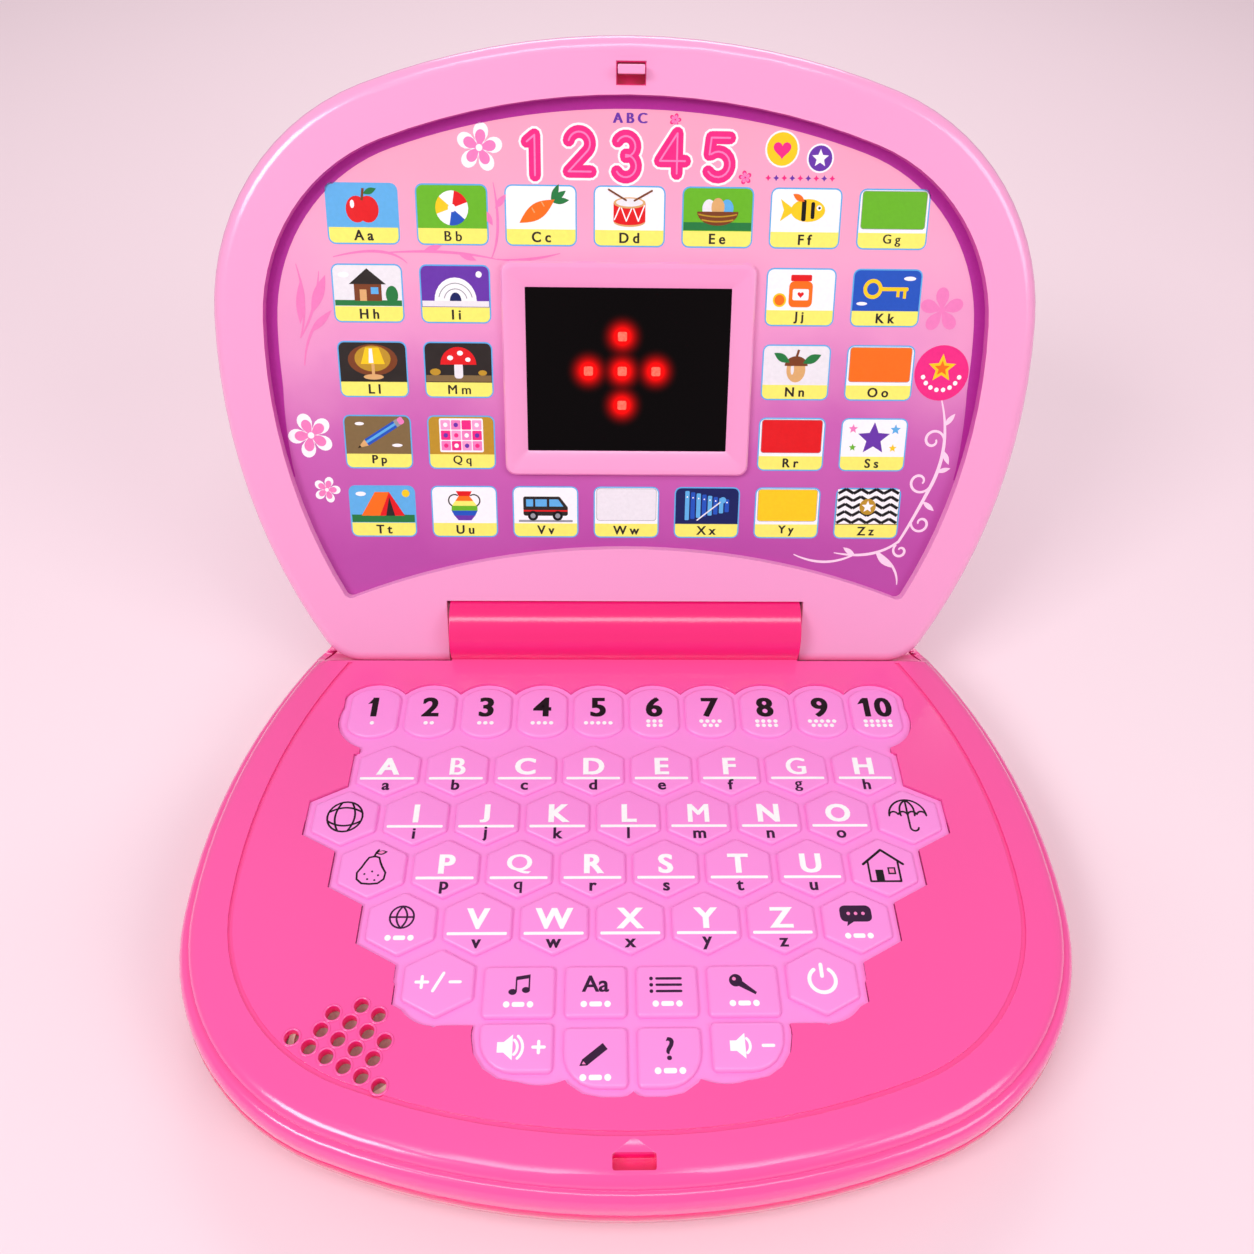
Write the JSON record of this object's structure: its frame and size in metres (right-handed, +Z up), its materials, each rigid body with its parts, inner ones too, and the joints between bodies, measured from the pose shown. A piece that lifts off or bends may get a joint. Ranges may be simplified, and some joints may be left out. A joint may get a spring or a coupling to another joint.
{
  "type": "toy laptop computer",
  "caption": "Toy laptop computer: a round-cornered base with letter, number and picture keys and a speaker, and a hinged lid with a picture panel and a light display.",
  "frame": {"origin": "on the table under the centre of the open toy's bounding box", "axes": "+X to the user's right, +Y to the rear, towards the lid, and +Z up"},
  "size_m": [0.245, 0.2552, 0.1895],
  "materials": {
    "deck_plastic": "moulded, glossy hot pink",
    "shell_plastic": "moulded, glossy deep pink",
    "lid_plastic": "moulded, glossy light pink",
    "keypad_rubber": "smooth pink sheet",
    "key_plastic": "smooth pink with printed legends",
    "panel_plastic": "printed pink to purple",
    "window_plastic": "smoked, polished",
    "led_plastic": "clear red",
    "board": "solder resist",
    "speaker_metal": "pressed basket with a paper cone",
    "battery_metal": "sleeved cells",
    "contact_steel": "plated",
    "screw_steel": "plated",
    "foot_rubber": "matt"
  },
  "bodies": {
    "base": {"base_top_cover": "deck_plastic", "base_bottom_cover": "shell_plastic", "keypad_mat": "keypad_rubber", "key_circuit_board": "board", "speaker": "speaker_metal", "batteries": "battery_metal", "battery_contacts": "contact_steel", "base_screws": "screw_steel", "rubber_feet": "foot_rubber", "hinge_pins": "screw_steel"},
    "door": {"battery_door": "shell_plastic", "battery_door_screw": "screw_steel"},
    "lid": {"lid_front_frame": "lid_plastic", "lid_back_cover": "lid_plastic", "picture_panel": "panel_plastic", "screen_bezel": "lid_plastic", "screen_window": "window_plastic", "display_board": "board", "display_leds": "led_plastic", "lid_screws": "screw_steel", "latch_hook": "lid_plastic"},
    "key_1_cap": {"key_1": "key_plastic"},
    "key_2_cap": {"key_2": "key_plastic"},
    "key_3_cap": {"key_3": "key_plastic"},
    "key_4_cap": {"key_4": "key_plastic"},
    "key_5_cap": {"key_5": "key_plastic"},
    "key_6_cap": {"key_6": "key_plastic"},
    "key_7_cap": {"key_7": "key_plastic"},
    "key_8_cap": {"key_8": "key_plastic"},
    "key_9_cap": {"key_9": "key_plastic"},
    "key_10_cap": {"key_10": "key_plastic"},
    "key_a_cap": {"key_a": "key_plastic"},
    "key_b_cap": {"key_b": "key_plastic"},
    "key_c_cap": {"key_c": "key_plastic"},
    "key_d_cap": {"key_d": "key_plastic"},
    "key_e_cap": {"key_e": "key_plastic"},
    "key_f_cap": {"key_f": "key_plastic"},
    "key_g_cap": {"key_g": "key_plastic"},
    "key_h_cap": {"key_h": "key_plastic"},
    "key_i_cap": {"key_i": "key_plastic"},
    "key_j_cap": {"key_j": "key_plastic"},
    "key_k_cap": {"key_k": "key_plastic"},
    "key_l_cap": {"key_l": "key_plastic"},
    "key_m_cap": {"key_m": "key_plastic"},
    "key_n_cap": {"key_n": "key_plastic"},
    "key_o_cap": {"key_o": "key_plastic"},
    "key_p_cap": {"key_p": "key_plastic"},
    "key_q_cap": {"key_q": "key_plastic"},
    "key_r_cap": {"key_r": "key_plastic"},
    "key_s_cap": {"key_s": "key_plastic"},
    "key_t_cap": {"key_t": "key_plastic"},
    "key_u_cap": {"key_u": "key_plastic"},
    "key_v_cap": {"key_v": "key_plastic"},
    "key_w_cap": {"key_w": "key_plastic"},
    "key_x_cap": {"key_x": "key_plastic"},
    "key_y_cap": {"key_y": "key_plastic"},
    "key_z_cap": {"key_z": "key_plastic"},
    "key_power_cap": {"key_power": "key_plastic"},
    "key_volume_up_cap": {"key_volume_up": "key_plastic"},
    "key_volume_down_cap": {"key_volume_down": "key_plastic"}
  },
  "joints": [
    {"name": "battery_door_slide", "type": "slide", "parent": "base", "child": "door", "axis": [0, 0, -1], "range_m": [0, 0.02]},
    {"name": "display_lid_hinge", "type": "hinge", "parent": "base", "child": "lid", "pos_m": [0, 0.0457, 0.033], "axis": [1, 0, 0], "range_deg": [0, 116]},
    {"name": "key_1_press", "type": "slide", "parent": "base", "child": "key_1_cap", "axis": [0, 0, -1], "range_m": [0, 0.001], "stiffness_N_per_m": 400},
    {"name": "key_2_press", "type": "slide", "parent": "base", "child": "key_2_cap", "axis": [0, 0, -1], "range_m": [0, 0.001], "stiffness_N_per_m": 400},
    {"name": "key_3_press", "type": "slide", "parent": "base", "child": "key_3_cap", "axis": [0, 0, -1], "range_m": [0, 0.001], "stiffness_N_per_m": 400},
    {"name": "key_4_press", "type": "slide", "parent": "base", "child": "key_4_cap", "axis": [0, 0, -1], "range_m": [0, 0.001], "stiffness_N_per_m": 400},
    {"name": "key_5_press", "type": "slide", "parent": "base", "child": "key_5_cap", "axis": [0, 0, -1], "range_m": [0, 0.001], "stiffness_N_per_m": 400},
    {"name": "key_6_press", "type": "slide", "parent": "base", "child": "key_6_cap", "axis": [0, 0, -1], "range_m": [0, 0.001], "stiffness_N_per_m": 400},
    {"name": "key_7_press", "type": "slide", "parent": "base", "child": "key_7_cap", "axis": [0, 0, -1], "range_m": [0, 0.001], "stiffness_N_per_m": 400},
    {"name": "key_8_press", "type": "slide", "parent": "base", "child": "key_8_cap", "axis": [0, 0, -1], "range_m": [0, 0.001], "stiffness_N_per_m": 400},
    {"name": "key_9_press", "type": "slide", "parent": "base", "child": "key_9_cap", "axis": [0, 0, -1], "range_m": [0, 0.001], "stiffness_N_per_m": 400},
    {"name": "key_10_press", "type": "slide", "parent": "base", "child": "key_10_cap", "axis": [0, 0, -1], "range_m": [0, 0.001], "stiffness_N_per_m": 400},
    {"name": "key_a_press", "type": "slide", "parent": "base", "child": "key_a_cap", "axis": [0, 0, -1], "range_m": [0, 0.001], "stiffness_N_per_m": 400},
    {"name": "key_b_press", "type": "slide", "parent": "base", "child": "key_b_cap", "axis": [0, 0, -1], "range_m": [0, 0.001], "stiffness_N_per_m": 400},
    {"name": "key_c_press", "type": "slide", "parent": "base", "child": "key_c_cap", "axis": [0, 0, -1], "range_m": [0, 0.001], "stiffness_N_per_m": 400},
    {"name": "key_d_press", "type": "slide", "parent": "base", "child": "key_d_cap", "axis": [0, 0, -1], "range_m": [0, 0.001], "stiffness_N_per_m": 400},
    {"name": "key_e_press", "type": "slide", "parent": "base", "child": "key_e_cap", "axis": [0, 0, -1], "range_m": [0, 0.001], "stiffness_N_per_m": 400},
    {"name": "key_f_press", "type": "slide", "parent": "base", "child": "key_f_cap", "axis": [0, 0, -1], "range_m": [0, 0.001], "stiffness_N_per_m": 400},
    {"name": "key_g_press", "type": "slide", "parent": "base", "child": "key_g_cap", "axis": [0, 0, -1], "range_m": [0, 0.001], "stiffness_N_per_m": 400},
    {"name": "key_h_press", "type": "slide", "parent": "base", "child": "key_h_cap", "axis": [0, 0, -1], "range_m": [0, 0.001], "stiffness_N_per_m": 400},
    {"name": "key_i_press", "type": "slide", "parent": "base", "child": "key_i_cap", "axis": [0, 0, -1], "range_m": [0, 0.001], "stiffness_N_per_m": 400},
    {"name": "key_j_press", "type": "slide", "parent": "base", "child": "key_j_cap", "axis": [0, 0, -1], "range_m": [0, 0.001], "stiffness_N_per_m": 400},
    {"name": "key_k_press", "type": "slide", "parent": "base", "child": "key_k_cap", "axis": [0, 0, -1], "range_m": [0, 0.001], "stiffness_N_per_m": 400},
    {"name": "key_l_press", "type": "slide", "parent": "base", "child": "key_l_cap", "axis": [0, 0, -1], "range_m": [0, 0.001], "stiffness_N_per_m": 400},
    {"name": "key_m_press", "type": "slide", "parent": "base", "child": "key_m_cap", "axis": [0, 0, -1], "range_m": [0, 0.001], "stiffness_N_per_m": 400},
    {"name": "key_n_press", "type": "slide", "parent": "base", "child": "key_n_cap", "axis": [0, 0, -1], "range_m": [0, 0.001], "stiffness_N_per_m": 400},
    {"name": "key_o_press", "type": "slide", "parent": "base", "child": "key_o_cap", "axis": [0, 0, -1], "range_m": [0, 0.001], "stiffness_N_per_m": 400},
    {"name": "key_p_press", "type": "slide", "parent": "base", "child": "key_p_cap", "axis": [0, 0, -1], "range_m": [0, 0.001], "stiffness_N_per_m": 400},
    {"name": "key_q_press", "type": "slide", "parent": "base", "child": "key_q_cap", "axis": [0, 0, -1], "range_m": [0, 0.001], "stiffness_N_per_m": 400},
    {"name": "key_r_press", "type": "slide", "parent": "base", "child": "key_r_cap", "axis": [0, 0, -1], "range_m": [0, 0.001], "stiffness_N_per_m": 400},
    {"name": "key_s_press", "type": "slide", "parent": "base", "child": "key_s_cap", "axis": [0, 0, -1], "range_m": [0, 0.001], "stiffness_N_per_m": 400},
    {"name": "key_t_press", "type": "slide", "parent": "base", "child": "key_t_cap", "axis": [0, 0, -1], "range_m": [0, 0.001], "stiffness_N_per_m": 400},
    {"name": "key_u_press", "type": "slide", "parent": "base", "child": "key_u_cap", "axis": [0, 0, -1], "range_m": [0, 0.001], "stiffness_N_per_m": 400},
    {"name": "key_v_press", "type": "slide", "parent": "base", "child": "key_v_cap", "axis": [0, 0, -1], "range_m": [0, 0.001], "stiffness_N_per_m": 400},
    {"name": "key_w_press", "type": "slide", "parent": "base", "child": "key_w_cap", "axis": [0, 0, -1], "range_m": [0, 0.001], "stiffness_N_per_m": 400},
    {"name": "key_x_press", "type": "slide", "parent": "base", "child": "key_x_cap", "axis": [0, 0, -1], "range_m": [0, 0.001], "stiffness_N_per_m": 400},
    {"name": "key_y_press", "type": "slide", "parent": "base", "child": "key_y_cap", "axis": [0, 0, -1], "range_m": [0, 0.001], "stiffness_N_per_m": 400},
    {"name": "key_z_press", "type": "slide", "parent": "base", "child": "key_z_cap", "axis": [0, 0, -1], "range_m": [0, 0.001], "stiffness_N_per_m": 400},
    {"name": "key_power_press", "type": "slide", "parent": "base", "child": "key_power_cap", "axis": [0, 0, -1], "range_m": [0, 0.001], "stiffness_N_per_m": 400},
    {"name": "key_volume_up_press", "type": "slide", "parent": "base", "child": "key_volume_up_cap", "axis": [0, 0, -1], "range_m": [0, 0.001], "stiffness_N_per_m": 400},
    {"name": "key_volume_down_press", "type": "slide", "parent": "base", "child": "key_volume_down_cap", "axis": [0, 0, -1], "range_m": [0, 0.001], "stiffness_N_per_m": 400}
  ]
}
